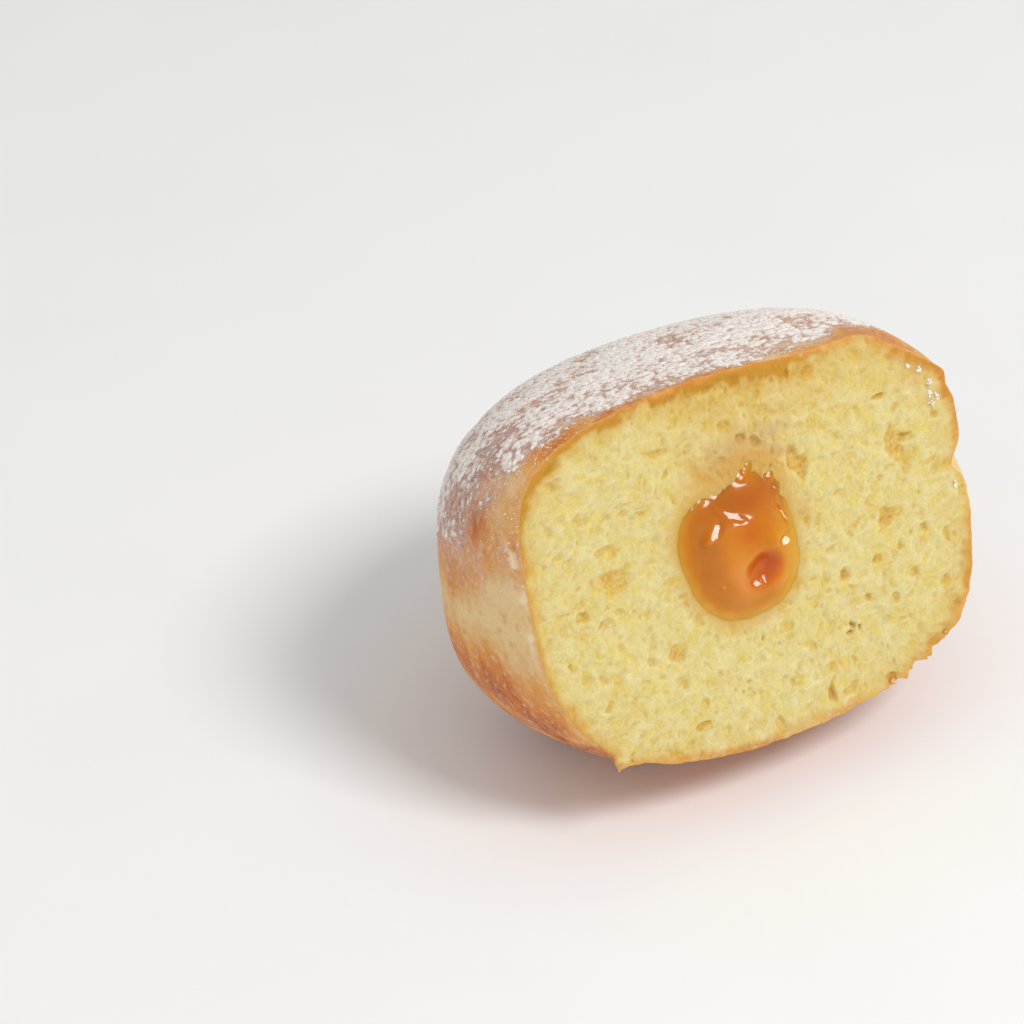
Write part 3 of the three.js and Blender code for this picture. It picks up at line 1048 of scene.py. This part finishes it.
def coat_thickness(points, cover):
    """Thickness of the sugar, in soft heaps with gaps, from 1 down to below 0 where none lies."""
    bend = np.stack([layered_noise(points, 0.8, seed, 2) for seed in (101, 103, 105)], -1)
    heaps = 1 - (nearest_centre(points + 0.3 * bend, HEAP_SIZE, 107) / 0.8) ** 2
    drifts = 0.45 * layered_noise(points, 3.4, 108)
    specks = (0.15 + 0.5 * (1 - cover)) * layered_noise(points, 0.55, 111, 2)
    thickness = np.clip(0.95 * heaps + drifts + specks + 1.2 * cover - 1.22, -1, 1)
    return thickness * np.minimum(5 * cover, 1) - smoothstep(0.2, 0, cover)


def build_sugar_coat(material):
    """Sugar in drifts and heaps: a lumpy sheet on the skin that dips under it where that is bare."""
    share, azimuth = disc_grid(COAT_CELLS)
    direction = crown_direction(share * math.radians(COAT_REACH), azimuth)
    skin = direction * skin_radius(direction)[..., None]
    thickness = coat_thickness(skin, sugar_cover(skin))
    height = np.maximum(COAT_RELIEF * thickness, -COAT_SUNK)
    points = (skin + direction * height[..., None]).reshape(-1, 3)
    quads = grid_quads(np.arange(share.size).reshape(share.shape))
    on_skin = (points[quads, 1] > -CUT_OFFSET).all(1)
    shown = (height.ravel()[quads] > -0.9 * COAT_SUNK).any(1) & on_skin
    used, faces = np.unique(quads[shown], return_inverse=True)
    thick = smoothstep(-0.1, 0.65, thickness.ravel()[used])
    new_piece("sugar_coat", points[used], faces.reshape(-1, 4), material, {"thick": thick})


def lumps(centres, radii, seed):
    """Small uneven eight-sided lumps round the centres, as points and triangles."""
    rng = np.random.default_rng(seed)
    count = len(centres)
    turns = np.linalg.qr(rng.standard_normal((count, 3, 3)))[0]
    turns *= np.sign(np.linalg.det(turns))[:, None, None]
    tips = np.concatenate([np.eye(3), -np.eye(3)])
    corners = tips * radii[:, None, None] * rng.uniform(0.6, 1.4, (count, 6, 1))
    points = centres[:, None] + corners @ turns
    triangles = []
    for a, b, c in itertools.product((0, 3), (1, 4), (2, 5)):
        outwards = (a == 0) ^ (b == 1) ^ (c == 2)
        triangles.append((a, b, c) if outwards else (a, c, b))
    faces = np.array(triangles)[None] + 6 * np.arange(count)[:, None, None]
    return points.reshape(-1, 3), faces.reshape(-1, 3)


def grain_share(skin, cover):
    """Share of the places drawn on the skin that get a grain: most at the fringe of the sugar."""
    fringe = smoothstep(0.02, 0.25, cover) * smoothstep(0.95, 0.45, cover)
    left_of_cut = smoothstep(-12, -17, skin[:, 0]) * smoothstep(5, 10, skin[:, 2])
    left_of_cut *= bell(skin[:, 1] + CUT_OFFSET, 2.6, 1.5)
    return 0.08 * cover + 0.16 * fringe + 0.06 * flecks(skin) + 0.22 * left_of_cut + 0.001


def build_sugar_grains(name, material, fallen):
    """Loose sugar of one size, on and round the coat, and little heaps of it fallen on the cut."""
    draws, middle_radius, seed = SUGAR_GRAINS[name]
    rng = np.random.default_rng(seed)
    polar = np.arccos(rng.uniform(-0.25, 1, draws))
    direction = crown_direction(polar, rng.uniform(-math.pi, math.pi, draws))
    skin = direction * skin_radius(direction)[..., None]
    cover = sugar_cover(skin)
    thickness = coat_thickness(skin, cover)
    kept = (skin[:, 1] > -CUT_OFFSET + 0.1) & (rng.random(draws) < grain_share(skin, cover))
    radii = middle_radius * np.exp(np.clip(0.35 * rng.standard_normal(kept.sum()), -0.6, 0.6))
    lift = np.maximum(COAT_RELIEF * thickness[kept], 0) + 0.1 * radii
    centres = [skin[kept] + direction[kept] * lift[:, None]]
    for x, z, grains in fallen:
        place = rng.normal((x, z), FALLEN_SCATTER, (grains, 2))
        depth, _ = face_depth(place[:, 0], place[:, 1])
        centres.append(np.stack([place[:, 0], depth - CUT_OFFSET - 0.03, place[:, 1]], -1))
        radii = np.append(radii, rng.uniform(*FALLEN_SIZES, grains) * middle_radius)
    points, faces = lumps(np.concatenate(centres), radii, seed + 1)
    new_piece(name, points, faces, material, {"thick": np.ones(len(points))})


def build_crumbs(material):
    """Loose crumbs hanging on the torn edge of the cut."""
    rng = np.random.default_rng(131)
    middles, scatters, shares = np.array(CRUMB_PLACES).T
    chosen = rng.choice(len(CRUMB_PLACES), LOOSE_CRUMBS, p=shares)
    around = np.radians(rng.normal(middles[chosen], scatters[chosen]))
    around = (around + math.pi) % (2 * math.pi) - math.pi
    reach = edge_radius(around) + ragged(around) + rng.normal(-0.3, 0.3, LOOSE_CRUMBS)
    depth = np.full(LOOSE_CRUMBS, -CUT_OFFSET)
    centres = np.stack([reach * np.cos(around), depth, reach * np.sin(around)], -1)
    radii = CRUMB_RADIUS * np.exp(0.4 * rng.standard_normal(LOOSE_CRUMBS))
    points, faces = lumps(centres, radii, 132)
    marks = {mark: np.full(len(points), level) for mark, level in CRUMB_MARKS.items()}
    new_piece("loose_crumbs", points, faces, material, marks)


def add_softbox(name, place, width, height, power):
    """A soft rectangular light that looks at the part."""
    light = bpy.data.lights.new(name, "AREA")
    light.shape = "RECTANGLE"
    light.size = width
    light.size_y = height
    light.energy = power
    lamp = bpy.data.objects.new(name, light)
    lamp.location = place
    lamp.rotation_euler = (Vector(LIGHT_AIM) - Vector(place)).to_track_quat("-Z", "Y").to_euler()
    bpy.context.scene.collection.objects.link(lamp)


def build_floor():
    """Plain pale floor."""
    material, tree, shader = new_material("floor")
    tone = noise_value(tree, 40.0, 2.0)
    feed_inputs(tree, shader, {
        "Base Color": ramp(tree, tone, ((0.0, "floor, darker"), (1.0, "floor, lighter"))),
        "Roughness": 0.9,
    })
    half = FLOOR_SIDE / 2
    corners = [(-half, -half, 0), (half, -half, 0), (half, half, 0), (-half, half, 0)]
    mesh = bpy.data.meshes.new("floor")
    mesh.from_pydata(corners, [], [(0, 1, 2, 3)])
    mesh.materials.append(material)
    floor = bpy.data.objects.new("floor", mesh)
    bpy.context.scene.collection.objects.link(floor)


def build_studio():
    """Pale floor, even white surroundings and soft lights, the key from the right, front and above."""
    build_floor()
    world = bpy.data.worlds.new("studio")
    world.use_nodes = True
    surroundings = world.node_tree.nodes["Background"]
    surroundings.inputs["Color"].default_value = (1.0, 1.0, 1.0, 1.0)
    surroundings.inputs["Strength"].default_value = SURROUND_STRENGTH
    bpy.context.scene.world = world
    for name, settings in SOFTBOXES.items():
        add_softbox(name, *settings)
    bpy.context.scene.view_settings.view_transform = "Standard"
    bpy.context.scene.view_settings.look = "None"


def build_camera():
    """Camera at the photograph's viewpoint, turned so that the bun's centre falls on its pixel."""
    azimuth = math.radians(CAMERA_AZIMUTH)
    elevation = math.radians(CAMERA_ELEVATION)
    level = math.cos(elevation)
    back = Vector((math.sin(azimuth) * level, -math.cos(azimuth) * level, math.sin(elevation)))
    focal = PIXELS_PER_MM * CAMERA_DISTANCE
    across = (BUN_CENTRE_PIXEL[0] - PICTURE_SIDE / 2) / focal
    down = (BUN_CENTRE_PIXEL[1] - PICTURE_SIDE / 2) / focal
    looking = back.to_track_quat("Z", "Y")
    roll = Matrix.Rotation(math.radians(-CAMERA_ROLL), 4, "Z").to_quaternion()
    aside = Vector((0, 0, -1)).rotation_difference(Vector((across, -down, -1)))
    camera = bpy.data.cameras.new("camera")
    camera.sensor_width = SENSOR_WIDTH
    camera.lens = focal * SENSOR_WIDTH / PICTURE_SIDE
    camera.clip_start = 0.01
    holder = bpy.data.objects.new("camera", camera)
    holder.rotation_mode = "QUATERNION"
    holder.rotation_quaternion = looking @ roll @ aside.inverted()
    holder.location = Vector(BUN_ORIGIN * MM) + back * CAMERA_DISTANCE * MM
    bpy.context.scene.collection.objects.link(holder)
    bpy.context.scene.camera = holder


loose_sugar = sugar_material("loose_sugar", 0.0)
build_dough(dough_material("dough", 0.5))
build_crumbs(dough_material("loose_crumbs", 0.0))
build_filling(caramel_material())
build_sugar_coat(sugar_material("icing_sugar", 0.6))
build_sugar_grains("sugar_powder", loose_sugar, ())
build_sugar_grains("sugar_clumps", loose_sugar, FALLEN_SUGAR)
build_studio()
build_camera()
